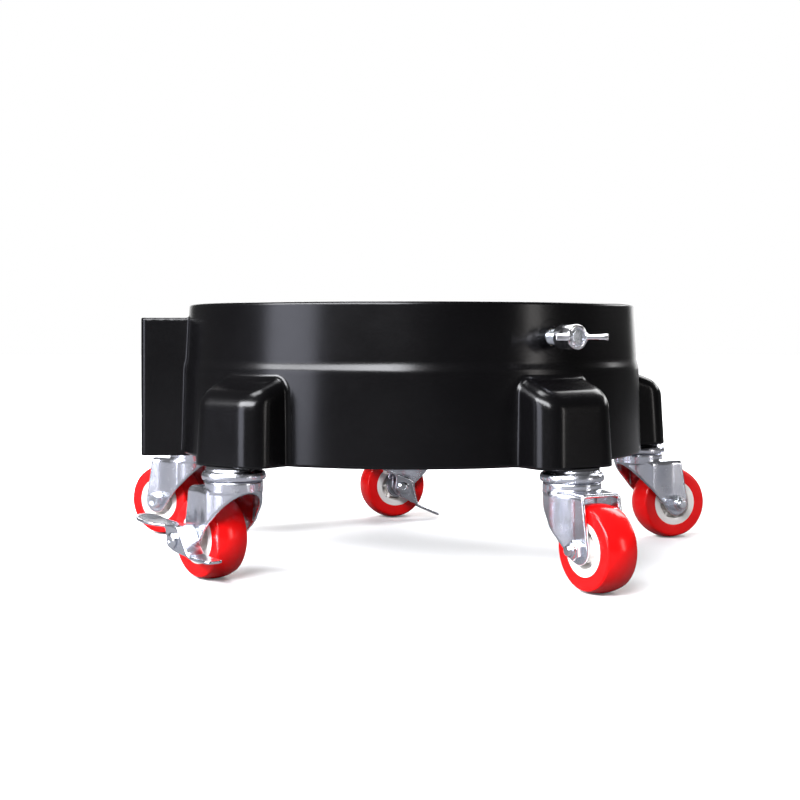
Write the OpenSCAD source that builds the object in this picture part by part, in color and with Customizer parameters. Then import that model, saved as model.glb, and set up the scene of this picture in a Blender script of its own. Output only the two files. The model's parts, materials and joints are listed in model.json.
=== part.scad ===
// Rolling drum dolly: a moulded ring that a pail or small drum stands in, on five swivel casters.
// The origin is the centre of the seat, on the ring's axis, level with the top of the seat ledge.
// +Z is up and the rear caster stands towards +Y. Azimuths are in degrees from -Y towards +X.

/* [Ring] */
// Inner diameter of the ring, which the drum stands in
bore_d = 286; // [220:1:340]
// Wall thickness at the rim
wall = 4.3; // [3:0.1:8]
// Height of the ring, from its bottom edge to the rim
ring_h = 95; // [78:1:130]
// Height of the upper band, from the shoulder to the rim
band_h = 38.5; // [32:0.5:46]
// How far the band's outer wall slopes out on its way down
band_draft = 1.9; // [0:0.1:4]
// How far the skirt stands out from the band at the shoulder
shoulder_out = 1.1; // [0.5:0.1:4]
// How far the skirt's outer wall slopes out on its way down
skirt_draft = 1.5; // [0:0.1:4]
// Thickness of the seat ledge
ledge_t = 6; // [4:0.5:12]
// Width of the seat ledge
ledge_w = 31; // [15:1:60]

/* [Caster bosses] */
// Width of each boss at its foot
boss_w = 55; // [46:1:70]
// How far each boss stands out from the skirt
boss_out = 25.3; // [22:0.1:36]
// How far each boss wall slopes in on its way up
boss_draft = 2; // [0:0.1:4]
// Height of the front edge of the boss above the ring's bottom edge
boss_h = 41.5; // [36:0.5:52]
// Radius of the boss's upper edges
boss_round = 9; // [4:0.5:12]
// Radius of the boss's upright corners
boss_corner = 13; // [8:0.5:16]
// Wall thickness of the bosses and of the pocket
shell = 3.5; // [2:0.1:5]

/* [Side pocket] */
// Azimuth of the side pocket
pocket_azimuth = -84; // [-88:1:-72]
// Outer width of the pocket
pocket_w = 48; // [30:1:54]
// How far the pocket stands out from the skirt
pocket_out = 25.3; // [16:0.1:36]
// Distance from the rim down to the pocket's mouth
pocket_drop = 8.5; // [2:0.5:30]
// How far the pocket's bottom hangs below the ring
pocket_foot = 2.8; // [0:0.1:5]
// Radius of the pocket's upright edges
pocket_round = 4; // [2:0.5:8]

/* [Casters] */
// Wheel diameter
wheel_d = 50; // [40:1:65]
// Width of the tyre
tyre_w = 20.5; // [16:0.5:28]
// Outer diameter of the hub
hub_d = 31; // [26:0.5:36]
// Distance from the swivel axis to the axle
trail = 23.5; // [20:0.5:32]
// Distance from the skirt's outer edge to the swivel axis
swivel_out = 13.6; // [11:0.1:18]
// Gap between the tyre and the top of the fork
wheel_gap = 3.4; // [2:0.1:8]
// Gap between the tyre and each leg of the fork
side_gap = 1.2; // [0.6:0.1:3]
// Sheet thickness of the fork
fork_t = 2.1; // [1.5:0.1:3]
// Diameter of the axle bolt
axle_d = 6; // [5:0.5:8]
// Diameter of the plain stem
stem_d = 11; // [9:0.5:13]
// Outer diameter of the swivel bearing
bearing_d = 37; // [33:0.5:42]

/* [Wing screws] */
// Thread diameter of the wing screws
screw_d = 10; // [8:0.5:12]
// Bare thread between the wall and the wing nut, drawn back
screw_gap = 6.8; // [6.6:0.1:12]
// Length of the wing nut's barrel
nut_len = 15; // [11:0.5:20]
// Length of each wing, from the barrel's middle to its tip
wing_len = 22; // [16:1:26]

/* [Brake levers] */
// Reach of the long end of a brake lever, from the axle
lever_long = 38; // [34:1:44]
// Width of the brake lever between its side plates and at its short end
tab_w = 11; // [8:0.5:14]
// Width of the leaf at the long end of a brake lever
leaf_w = 16; // [12:0.5:20]
// Tilt of the locked lever
lever_locked = 4; // [0:1:10]
// Tilt of the released lever
lever_open = 26; // [20:1:28]

/* [Hidden] */
$fn = 96;
tiny = 0.01;
arc_steps = 8;
run_fit = 0.05;

// Caster positions, and the azimuth in which each wheel trails
casters = ["front_right", "front_left", "side_right", "side_left", "rear"];
caster_azimuth = [36, -36, 108, -108, 180];
trail_azimuth = [32.5, -135.4, 111.5, -115, -68.4];
braked = [false, true, false, false, true];
// The wing screws stand over three of the casters
screws = ["front_right", "side_left", "rear"];
screw_azimuth = [36, -108, 180];
// The braked casters
brakes = ["front_left", "rear"];
brake_caster = [1, 4];
brake_tilt = [lever_locked, lever_open];

// Ring
bore_r = bore_d / 2;
rim_r = bore_r + wall;
band_r = rim_r + band_draft;
skirt_top_r = band_r + shoulder_out;
skirt_r = skirt_top_r + skirt_draft;
ring_bottom = -ledge_t;
rim_z = ring_bottom + ring_h;
shoulder_z = rim_z - band_h;
rim_round = 1.8;
shoulder_rise = 2.2;

// Casters, from the floor up
wheel_r = wheel_d / 2;
hub_r = hub_d / 2;
axle_r = axle_d / 2;
sleeve_wall = 1.5;
sleeve_r = axle_r + sleeve_wall;
tyre_round = 1.6;
tyre_crown = wheel_r * 1.04;
inner_half = tyre_w / 2 + side_gap;
leg_half = inner_half + fork_t;
leg_end_r = 8.5;
dome_h = 3.4;
race_h = 8;
neck_h = 1;
caster_h = wheel_d + wheel_gap + fork_t + dome_h + race_h + neck_h;
floor_z = ring_bottom - caster_h;
axle_z = floor_z + wheel_r;
plate_under = floor_z + wheel_d + wheel_gap;
plate_top = plate_under + fork_t;
dome_top = plate_top + dome_h;
race_top = dome_top + race_h;
swivel_r = skirt_r + swivel_out;

// Swivel bearing
cap_r = bearing_d / 2;
cap_skirt_t = 1.3;
cap_clear = 0.4;
dome_r = cap_r - cap_skirt_t - cap_clear;
cap_ceiling = 2.8;
cap_hem = 1.6;
ball_r = 1.9;
play = 0.1;
groove_r = ball_r + play;
ball_count = 12;
ball_inset = 7;
ball_circle = cap_r - ball_inset;
king_r = 4;
king_head_r = 6.5;
king_head_h = 2.4;
cap_overhang = 2;
skirt_plan_r = cap_r - cap_overhang;
cap_lip = 2.6;
lip_r = cap_r - cap_lip;

// Bosses
boss_reach = skirt_r + boss_out;
root_depth = 5;
root_r = bore_r - root_depth;
boss_back_rise = 13.5;
stem_r = stem_d / 2;
stem_len = 30;
socket_wall = 1.5;
socket_r = stem_r + socket_wall;
socket_h = stem_len + 1;
post_t = 2.45;
hollow_gap = 2;
hollow_back = 0.5;

// Wing screws
screw_r = screw_d / 2;
screw_drop = 20.5;
screw_z = rim_z - screw_drop;
nut_wall = 2.4;
nut_r = screw_r + nut_wall;
nut_start = band_r + screw_gap;
nut_end = nut_start + nut_len;
insert_wall = 2.6;
insert_r = screw_r + insert_wall;
insert_cover = 0.6;
insert_len = wall - insert_cover;
pad_t = 2.6;
pad_stud_r = 1.5;
pad_stud_len = 5;
pad_inset = 0.4;
pad_face = bore_r + pad_inset;
wing_sweep = 50;
wing_t = 3.8;
wing_w = 7.5;

// Brake levers
lever_t = 1.8;
cam_t = 2;
cam_start = leg_half + play;
lever_start = cam_start + cam_t;
lever_end = lever_start + tab_w;
lever_rise = 7;
lever_drop = wheel_r * 0.35;
lever_short = wheel_r * 1.38;
web_edge = 9;

// Axle bolt
head_h = 4;
round_head = 1.7;
nut_h = 6;
collar_wall = 1.4;
hex_ratio = 1.65 / cos(30);
bolt_tail = 2;

// Point where the line from p touches the circle of radius r about c
function touch(p, c, r, side) =
    let (d = p - c, a = atan2(d[1], d[0]) + side * acos(r / norm(d)))
    c + r * [cos(a), sin(a)];

// Stands its children on the swivel axis of caster k, trailing towards its own azimuth
module at_caster(k) {
    rotate([0, 0, caster_azimuth[k]])
        translate([0, -swivel_r, 0])
            rotate([0, 0, trail_azimuth[k] - caster_azimuth[k]])
                children();
}

// Puts its children, made along +X through the origin, on the axle of caster k
module at_axle(k) {
    at_caster(k)
        translate([0, -trail, axle_z])
            children();
}

// Puts its children, made along +Z from the ring's axis outwards, on wing screw k
module at_screw(k) {
    rotate([0, 0, screw_azimuth[k]])
        translate([0, 0, screw_z])
            rotate([90, 0, 0])
                children();
}

// A cylinder along +X between two stations
module x_rod(from, to, r) {
    translate([from, 0, 0])
        rotate([0, 90, 0])
            cylinder(h = to - from, r = r);
}

// A hexagonal prism along +X between two stations
module x_hex(from, to, r) {
    translate([from, 0, 0])
        rotate([0, 90, 0])
            cylinder(h = to - from, r = r, $fn = 6);
}

// Points along an arc about c, from angle a0 to angle a1
function arc(c, r, a0, a1) =
    [for (i = [0 : arc_steps]) let (a = a0 + (a1 - a0) * i / arc_steps) c + r * [cos(a), sin(a)]];

// Rectangle from root to reach in the -Y direction, with its two outer corners round
module outer_round_plan(half, reach, root, r) {
    polygon(concat(
        [[half, -root], [-half, -root]],
        arc([-half + r, -reach + r], r, 180, 270),
        arc([half - r, -reach + r], r, 270, 360)
    ));
}

// Upright profile of a boss, narrower at the top, with round upper corners
module boss_face(half, h, draft, r) {
    top_half = half - draft - r;
    polygon(concat(
        [[-half, 0], [half, 0]],
        arc([top_half, h - r], r, 0, 90),
        arc([-top_half, h - r], r, 90, 180)
    ));
}

// Radial section of a boss: a drafted front, a round front edge and a top that rises to the wall
module boss_section(reach, root, h, rise, draft, r) {
    top_slope = atan2(rise, reach - draft - root);
    polygon(concat(
        [[root, 0], [reach, 0]],
        arc([reach - draft - r, h - r], r, 0, 90 - top_slope),
        [[root, h + rise]]
    ));
}

// Solid of one boss, standing towards -Y
module boss_solid() {
    half = boss_w / 2;
    full_h = boss_h + boss_back_rise;
    intersection() {
        translate([0, 0, ring_bottom])
            linear_extrude(full_h)
                outer_round_plan(half, boss_reach, root_r, boss_corner);
        translate([0, 0, ring_bottom])
            rotate([90, 0, 0])
                linear_extrude(boss_reach + 1)
                    boss_face(half + tiny, full_h + tiny, boss_draft, boss_round);
        translate([-half - 1, 0, ring_bottom])
            mirror([0, 1, 0])
                rotate([90, 0, 90])
                    linear_extrude(2 * half + 2)
                        boss_section(boss_reach + tiny, root_r, boss_h, boss_back_rise, boss_draft,
                                     boss_round);
    }
}

// Hollow of one boss, open below, around its socket tube
module boss_hollow() {
    inset = shell + boss_draft;
    h = boss_h - shell - hollow_gap;
    difference() {
        translate([0, 0, ring_bottom - 1])
            linear_extrude(h + 1)
                outer_round_plan(boss_w / 2 - inset, boss_reach - inset, skirt_r + hollow_back,
                                 max(boss_corner - inset, 1));
        translate([0, -swivel_r, ring_bottom - 2])
            cylinder(h = h + 4, r = socket_r + post_t);
    }
}

// Section of the ring's wall and ledge, cut to the bore later
module ring_section() {
    polygon(concat(
        [
            [bore_r - ledge_w, ring_bottom],
            [skirt_r, ring_bottom],
            [skirt_top_r, shoulder_z],
            [band_r, shoulder_z + shoulder_rise]
        ],
        arc([rim_r - rim_round, rim_z - rim_round], rim_round, 0, 90),
        [
            [bore_r - 1, rim_z],
            [bore_r - 1, 0],
            [bore_r - ledge_w, 0]
        ]
    ));
}

// Outside of the pocket, standing towards -Y
module pocket_outside() {
    translate([0, 0, ring_bottom - pocket_foot])
        linear_extrude(ring_h - pocket_drop + pocket_foot)
            outer_round_plan(pocket_w / 2, skirt_r + pocket_out, root_r, pocket_round);
}

// Space in the pocket, which is open at the top
module pocket_space() {
    translate([0, 0, ring_bottom - pocket_foot + shell])
        linear_extrude(ring_h + pocket_foot)
            outer_round_plan(pocket_w / 2 - shell, skirt_r + pocket_out - shell, skirt_r + hollow_back,
                             max(pocket_round - shell, 1));
}

// The moulded ring with its five caster bosses and its side pocket
module ring_body() {
    color([0.06, 0.06, 0.065])
        difference() {
            union() {
                rotate_extrude()
                    ring_section();
                for (azimuth = caster_azimuth)
                    rotate([0, 0, azimuth])
                        boss_solid();
                rotate([0, 0, pocket_azimuth])
                    pocket_outside();
            }
            cylinder(h = ring_h, r = bore_r);
            for (azimuth = caster_azimuth)
                rotate([0, 0, azimuth]) {
                    boss_hollow();
                    translate([0, -swivel_r, ring_bottom - 1])
                        cylinder(h = socket_h + 1, r = socket_r);
                }
            rotate([0, 0, pocket_azimuth])
                pocket_space();
            for (k = [0 : len(screws) - 1])
                at_screw(k) {
                    translate([0, 0, bore_r - 1])
                        cylinder(h = insert_len + 1, r = insert_r);
                    translate([0, 0, bore_r])
                        cylinder(h = skirt_r - bore_r, r = screw_r + 2 * run_fit);
                }
        }
}

// Steel sockets pressed into the bosses
module stem_sockets() {
    color([0.62, 0.63, 0.65])
        for (azimuth = caster_azimuth)
            rotate([0, 0, azimuth])
                translate([0, -swivel_r, ring_bottom])
                    difference() {
                        cylinder(h = socket_h, r = socket_r);
                        translate([0, 0, -1])
                            cylinder(h = stem_len + 1 + play, r = stem_r + run_fit);
                    }
}

// Black washers between the bosses and the bearing caps
module neck_washers() {
    color([0.05, 0.05, 0.05])
        for (azimuth = caster_azimuth)
            rotate([0, 0, azimuth])
                translate([0, -swivel_r, race_top])
                    difference() {
                        cylinder(h = neck_h, r = lip_r);
                        translate([0, 0, -1])
                            cylinder(h = neck_h + 2, r = stem_r + run_fit);
                    }
}

// Steel balls of the five swivel bearings
module bearing_balls() {
    color([0.75, 0.76, 0.78])
        for (azimuth = caster_azimuth)
            rotate([0, 0, azimuth])
                translate([0, -swivel_r, dome_top + cap_ceiling / 2])
                    for (i = [0 : ball_count - 1])
                        rotate([0, 0, i * 360 / ball_count])
                            translate([ball_circle, 0, 0])
                                sphere(ball_r, $fn = 24);
}

// Threaded inserts set flush into the band's inner wall
module screw_inserts() {
    color([0.7, 0.7, 0.68])
        for (k = [0 : len(screws) - 1])
            at_screw(k)
                difference() {
                    translate([0, 0, bore_r])
                        cylinder(h = insert_len, r = insert_r);
                    translate([0, 0, bore_r - 1])
                        cylinder(h = insert_len + 2, r = screw_r + run_fit);
                }
}

// Stem of caster k: the plain stem, and the king rivet that holds the fork
module stem(k) {
    color([0.72, 0.73, 0.75])
        at_caster(k) {
            translate([0, 0, dome_top + cap_ceiling])
                cylinder(h = ring_bottom + stem_len - dome_top - cap_ceiling, r = stem_r);
            translate([0, 0, plate_under - king_head_h])
                cylinder(h = dome_top + cap_ceiling - plate_under + king_head_h, r = king_r);
            translate([0, 0, plate_under - play - king_head_h])
                cylinder(h = king_head_h, r = king_head_r);
        }
}

// Upper bearing cap of caster k
module race_cap(k) {
    color([0.78, 0.79, 0.81])
        at_caster(k)
            translate([0, 0, dome_top])
                rotate_extrude()
                    difference() {
                        polygon([
                            [stem_r + run_fit, cap_ceiling],
                            [cap_r - cap_skirt_t, cap_ceiling],
                            [cap_r - cap_skirt_t, cap_hem],
                            [cap_r - 0.5, cap_hem],
                            [cap_r, cap_hem + 1],
                            [cap_r, cap_hem + 3.2],
                            [cap_r - 0.7, cap_hem + 4.6],
                            [lip_r, race_h - 1],
                            [lip_r, race_h],
                            [stem_r + run_fit, race_h]
                        ]);
                        translate([ball_circle, cap_ceiling / 2])
                            circle(groove_r, $fn = 32);
                    }
}

// Side outline of the fork, in the upright plane through the swivel axis
module fork_side() {
    axle = [-trail, axle_z];
    back_top = [skirt_plan_r + 1, plate_top];
    front_top = [-trail - 3, plate_top];
    polygon([
        back_top,
        touch(back_top, axle, leg_end_r, -1),
        axle,
        touch(front_top, axle, leg_end_r, 1),
        front_top
    ]);
    translate(axle)
        circle(leg_end_r);
}

// Plan of the fork: round about the swivel axis, with two straight legs towards -Y
module fork_plan(inset) {
    half = leg_half - inset;
    circle(skirt_plan_r - inset);
    translate([-half, -trail - 2 * leg_end_r])
        square([2 * half, trail + 2 * leg_end_r]);
}

// Stamped fork of caster k, with the lower bearing race raised on its top
module fork(k) {
    dome_wall = 1.6;
    dome_rim = 1.6;
    color([0.8, 0.81, 0.84])
        at_caster(k)
            difference() {
                union() {
                    intersection() {
                        translate([0, 0, floor_z])
                            linear_extrude(plate_top - floor_z)
                                fork_plan(0);
                        translate([-cap_r, 0, 0])
                            rotate([90, 0, 90])
                                linear_extrude(2 * cap_r)
                                    fork_side();
                    }
                    translate([0, 0, plate_top - tiny])
                        rotate_extrude()
                            difference() {
                                square([dome_r, dome_h + dome_rim + tiny]);
                                translate([-1, dome_h + tiny])
                                    square([dome_r - dome_wall + 1, dome_rim + 1]);
                                translate([ball_circle, dome_h + cap_ceiling / 2 + tiny])
                                    circle(groove_r, $fn = 32);
                            }
                }
                translate([0, 0, floor_z - 1])
                    linear_extrude(plate_under - floor_z + 1)
                        fork_plan(fork_t);
                translate([0, 0, plate_under - 1])
                    cylinder(h = dome_top - plate_under + 2, r = king_r + run_fit);
                translate([0, -trail, axle_z])
                    x_rod(-leg_half - 1, leg_half + 1, axle_r + run_fit);
            }
}

// Axle bolt of caster k, with its head outside the brake lever where there is one
module axle_bolt(k) {
    head_start = braked[k] ? lever_end + play : leg_half;
    color([0.7, 0.72, 0.76])
        at_axle(k) {
            x_rod(-leg_half - nut_h - bolt_tail, head_start + tiny, axle_r);
            if (braked[k]) {
                x_rod(head_start, head_start + head_h / 2, axle_r + round_head);
            } else {
                x_hex(head_start, head_start + head_h, axle_r * hex_ratio);
            }
        }
}

// Lock nut of caster k, with its round collar
module axle_nut(k) {
    collar = 2;
    color([0.66, 0.68, 0.72])
        at_axle(k)
            difference() {
                union() {
                    x_hex(-leg_half - nut_h + collar, -leg_half, axle_r * hex_ratio);
                    x_rod(-leg_half - nut_h, -leg_half - nut_h + collar + tiny, axle_r + collar_wall);
                }
                x_rod(-leg_half - nut_h - 1, -leg_half + 1, axle_r + run_fit);
            }
}

// Spacer tube between the legs of fork k, which the hub turns on
module axle_sleeve(k) {
    color([0.6, 0.61, 0.63])
        at_axle(k)
            difference() {
                x_rod(-inner_half + run_fit, inner_half - run_fit, sleeve_r);
                x_rod(-inner_half - 1, inner_half + 1, axle_r + run_fit);
            }
}

// Half section of the hub: x is the radius and y the place along the axle
module hub_section() {
    rim_t = 4.6;
    web_half = 3;
    nave_r = sleeve_r + 2.8;
    polygon([
        [sleeve_r + run_fit, -inner_half + 0.4],
        [nave_r, -inner_half + 0.4],
        [nave_r + 0.6, -web_half],
        [hub_r - rim_t, -web_half],
        [hub_r - rim_t + 0.5, -tyre_w / 2 + 0.2],
        [hub_r, -tyre_w / 2 + 0.2],
        [hub_r, tyre_w / 2 - 0.2],
        [hub_r - rim_t + 0.5, tyre_w / 2 - 0.2],
        [hub_r - rim_t, web_half],
        [nave_r + 0.6, web_half],
        [nave_r, inner_half - 0.4],
        [sleeve_r + run_fit, inner_half - 0.4]
    ]);
}

// White moulded hub of caster k
module hub(k) {
    ribs = 6;
    rib_t = 1.8;
    color([0.9, 0.88, 0.85])
        at_axle(k)
            rotate([0, 90, 0]) {
                rotate_extrude()
                    hub_section();
                for (i = [0 : ribs - 1])
                    rotate([0, 0, i * 360 / ribs])
                        translate([sleeve_r + 2, -rib_t / 2, -tyre_w / 2 + 3])
                            cube([hub_r - sleeve_r - 3, rib_t, tyre_w - 6]);
            }
}

// Tyre of caster k, moulded onto the hub: flat sides, small round shoulders and a crowned tread
module tyre(k) {
    half = tyre_w / 2;
    reach = tyre_crown - tyre_round;
    turn = asin((half - tyre_round) / reach);
    crown_x = wheel_r - tyre_crown;
    shoulder_x = crown_x + reach * cos(turn);
    color([0.85, 0.05, 0.05])
        at_axle(k)
            rotate([0, 90, 0])
                rotate_extrude()
                    polygon(concat(
                        [[hub_r, half], [hub_r, -half]],
                        arc([shoulder_x, -half + tyre_round], tyre_round, -90, -turn),
                        arc([crown_x, 0], tyre_crown, -turn, turn),
                        arc([shoulder_x, half - tyre_round], tyre_round, turn, 90)
                    ));
}

// Path of a brake lever's sheet, from its long end over the axle to its short end
function lever_path() = [
    [-lever_long, lever_rise + 1],
    [-9, lever_rise - 0.4],
    [-2, lever_rise + 0.4],
    [5, lever_rise - 0.5],
    [12, -lever_drop * 0.23],
    [15.5, -lever_drop * 0.8],
    [19.5, -lever_drop],
    [lever_short, -lever_drop + 0.6]
];

// Direction across a path at its point i
function across(path, i) =
    let (
        before = path[max(i - 1, 0)],
        after = path[min(i + 1, len(path) - 1)],
        along = (after - before) / norm(after - before)
    )
    [-along[1], along[0]];

// Section of a sheet of thickness t that follows a path
module sheet_section(path, t) {
    last = len(path) - 1;
    polygon(concat(
        [for (i = [0 : last]) path[i] + across(path, i) * t / 2],
        [for (i = [last : -1 : 0]) path[i] - across(path, i) * t / 2]
    ));
}

// Plan of a brake lever: a wide leaf with a round end, then a plain tab
module lever_plan() {
    leaf_r = leaf_w / 2;
    polygon(concat(
        [[0, lever_short + 1]],
        arc([leaf_r, leaf_r - lever_long], leaf_r, 180, 360),
        [
            [leaf_w, -lever_long * 0.55],
            [tab_w, -lever_long * 0.2],
            [tab_w, lever_short + 1]
        ]
    ));
}

// Side plate of a brake lever, which turns on the axle bolt
module lever_web() {
    path = lever_path();
    polygon([
        path[1],
        path[2],
        path[3],
        path[4],
        path[5],
        path[6],
        [6, -web_edge],
        [-1, -web_edge + 2],
        [-6, -web_edge / 2]
    ]);
}

// Brake lever b: an S-shaped pressing with a foot tab at each end, between two side plates
module brake_lever(b) {
    color([0.72, 0.74, 0.78])
        at_axle(brake_caster[b])
            rotate([-brake_tilt[b], 0, 0])
                difference() {
                    union() {
                        translate([lever_start, 0, 0])
                            intersection() {
                                rotate([90, 0, 90])
                                    linear_extrude(leaf_w)
                                        sheet_section(lever_path(), lever_t);
                                translate([0, 0, -lever_long])
                                    linear_extrude(2 * lever_long)
                                        lever_plan();
                            }
                        for (x = [lever_start, lever_end - lever_t])
                            translate([x, 0, 0])
                                rotate([90, 0, 90])
                                    linear_extrude(lever_t)
                                        lever_web();
                    }
                    x_rod(lever_start - 1, lever_end + 1, axle_r + run_fit);
                }
}

// Cam washer under brake lever b, which turns with it and pinches the wheel
module brake_cam(b) {
    cam_r = 7;
    nose = 3;
    nose_w = 5;
    color([0.35, 0.36, 0.38])
        at_axle(brake_caster[b])
            rotate([-brake_tilt[b], 0, 0])
                difference() {
                    union() {
                        x_rod(cam_start, lever_start, cam_r);
                        translate([cam_start, -cam_r - nose, -nose_w / 2])
                            cube([cam_t, cam_r + nose, nose_w]);
                    }
                    x_rod(cam_start - 1, lever_start + 1, axle_r + run_fit);
                }
}

// Threaded rod of wing screw k, with its blind hole for the tip pad
module screw_rod(k) {
    color([0.78, 0.79, 0.8])
        at_screw(k)
            difference() {
                translate([0, 0, pad_face + pad_t + play])
                    cylinder(h = nut_end - pad_face - pad_t - play, r = screw_r);
                translate([0, 0, pad_face])
                    cylinder(h = pad_t + pad_stud_len + 0.5, r = pad_stud_r + run_fit);
            }
}

// Wing nut fixed on the outer end of wing screw k, with its two swept wings
module wing_nut(k) {
    base_h = 2;
    color([0.86, 0.87, 0.9])
        at_screw(k)
            difference() {
                union() {
                    translate([0, 0, nut_start + base_h])
                        cylinder(h = nut_len - base_h, r = nut_r);
                    translate([0, 0, nut_start])
                        cylinder(h = base_h + tiny, r = nut_r - 1);
                    for (side = [-1, 1])
                        translate([0, 0, nut_start + nut_len / 2])
                            rotate([0, side * wing_sweep, 0])
                                translate([-wing_w / 2, -wing_t / 2, 0])
                                    cube([wing_w, wing_t, wing_len]);
                }
                translate([0, 0, nut_start - 1])
                    cylinder(h = nut_len + wing_len, r = screw_r);
            }
}

// Plastic tip pad of wing screw k
module tip_pad(k) {
    color([0.15, 0.15, 0.16])
        at_screw(k) {
            translate([0, 0, pad_face])
                cylinder(h = pad_t, r = screw_r - play);
            translate([0, 0, pad_face + pad_t - tiny])
                cylinder(h = pad_stud_len, r = pad_stud_r);
        }
}

ring_body();
stem_sockets();
neck_washers();
bearing_balls();
screw_inserts();

for (k = [0 : len(casters) - 1]) {
    stem(k);
    race_cap(k);
    fork(k);
    axle_bolt(k);
    axle_nut(k);
    axle_sleeve(k);
    hub(k);
    tyre(k);
}

for (b = [0 : len(brakes) - 1]) {
    brake_lever(b);
    brake_cam(b);
}

for (k = [0 : len(screws) - 1]) {
    screw_rod(k);
    wing_nut(k);
    tip_pad(k);
}
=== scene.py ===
import json
import math
import bpy
import numpy as np
from mathutils import Matrix, Vector


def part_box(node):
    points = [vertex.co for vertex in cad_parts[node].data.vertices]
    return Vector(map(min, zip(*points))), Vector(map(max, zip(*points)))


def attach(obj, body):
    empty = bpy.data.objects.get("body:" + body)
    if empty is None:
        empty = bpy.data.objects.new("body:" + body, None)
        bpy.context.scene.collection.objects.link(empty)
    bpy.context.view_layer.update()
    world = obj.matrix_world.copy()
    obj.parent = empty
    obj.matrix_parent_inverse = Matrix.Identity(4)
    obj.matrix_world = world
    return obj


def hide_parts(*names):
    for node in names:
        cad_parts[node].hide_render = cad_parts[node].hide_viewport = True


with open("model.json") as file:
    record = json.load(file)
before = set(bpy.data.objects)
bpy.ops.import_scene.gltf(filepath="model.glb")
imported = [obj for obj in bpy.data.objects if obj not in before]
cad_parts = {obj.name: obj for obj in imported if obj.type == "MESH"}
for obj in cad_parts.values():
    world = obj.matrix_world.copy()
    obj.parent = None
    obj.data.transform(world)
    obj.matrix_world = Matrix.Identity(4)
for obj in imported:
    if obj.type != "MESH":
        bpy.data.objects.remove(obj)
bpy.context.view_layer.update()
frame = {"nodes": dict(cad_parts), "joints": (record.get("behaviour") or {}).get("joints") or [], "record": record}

RECORD = frame["record"]
NODES = frame["nodes"]
JOINTS = {j["name"]: j for j in frame["joints"]}

MM = 0.001
CASTERS = sorted(n[len("fork_"):] for n in NODES if n.startswith("fork_"))
SCREWS = sorted(n[len("screw_rod_"):] for n in NODES if n.startswith("screw_rod_"))
BRAKES = sorted(n[len("brake_lever_"):] for n in NODES if n.startswith("brake_lever_"))


def rows(node):
    """Lowest and highest corner of a CAD node, in millimetres."""
    lo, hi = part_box(node)
    return np.array(lo) / MM, np.array(hi) / MM


FLOOR_Z = rows("tyre_front_right")[0][2]
RIM_Z = rows("ring_body")[1][2]
RING_BOTTOM = -6.0
# the pocket reaches a little below the skirt
POCKET_FOOT = 2.8
POCKET_BOTTOM = RING_BOTTOM - POCKET_FOOT
WHEEL_R = (rows("tyre_front_right")[1][2] - FLOOR_Z) / 2
AXLE_Z = FLOOR_Z + WHEEL_R


# ---------------------------------------------------------------- mesh tools

def link(name, mesh, material, body, replaces=(), matrix=None):
    """A piece of that mesh, in place, riding on that body."""
    obj = bpy.data.objects.new(name, mesh)
    bpy.context.scene.collection.objects.link(obj)
    if matrix is not None:
        obj.matrix_world = matrix
    if not mesh.materials:
        mesh.materials.append(material)
    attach(obj, body)
    if replaces:
        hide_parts(*replaces)
    return obj


def mesh_of(name, points, faces, smooth=True):
    """A mesh from points in millimetres."""
    mesh = bpy.data.meshes.new(name)
    mesh.from_pydata([tuple(p) for p in np.asarray(points) * MM], [], faces)
    mesh.update()
    if smooth:
        mesh.shade_smooth()
    return mesh


def rmax(a, b, r):
    """Intersection of two distance fields with a round edge of radius r."""
    ar, br = a + r, b + r
    return np.minimum(np.maximum(ar, br), 0) + np.hypot(np.maximum(ar, 0), np.maximum(br, 0)) - r


def rmin(a, b, r):
    """Union of two distance fields with a round fillet of radius r."""
    return -rmax(-a, -b, r)


def capsule_ends(t, lo, hi):
    """How far t lies outside the span from lo to hi."""
    return np.maximum(lo - t, t - hi)


def polygon_field(x, y, corners):
    """Signed distance to a closed polygon."""
    best = np.full(np.shape(x), 1e9)
    sign = np.ones(np.shape(x))
    n = len(corners)
    for i in range(n):
        ax, ay = corners[i]
        bx, by = corners[i - 1]
        ex, ey = bx - ax, by - ay
        wx, wy = x - ax, y - ay
        t = np.clip((wx * ex + wy * ey) / (ex * ex + ey * ey), 0, 1)
        best = np.minimum(best, np.hypot(wx - ex * t, wy - ey * t))
        c1, c2, c3 = y >= ay, y < by, ex * wy > ey * wx
        flip = (c1 & c2 & c3) | (~c1 & ~c2 & ~c3)
        sign = np.where(flip, -sign, sign)
    return best * sign


def steps(*stops):
    """Stations from (place, spacing) pairs: from each place on, the spacing that goes with it."""
    out = [stops[0][0]]
    for (a, step), (b, _) in zip(stops[:-1], stops[1:]):
        n = max(1, round((b - a) / step))
        out += [a + (b - a) * (i + 1) / n for i in range(n)]
    return np.array(out)


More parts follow.
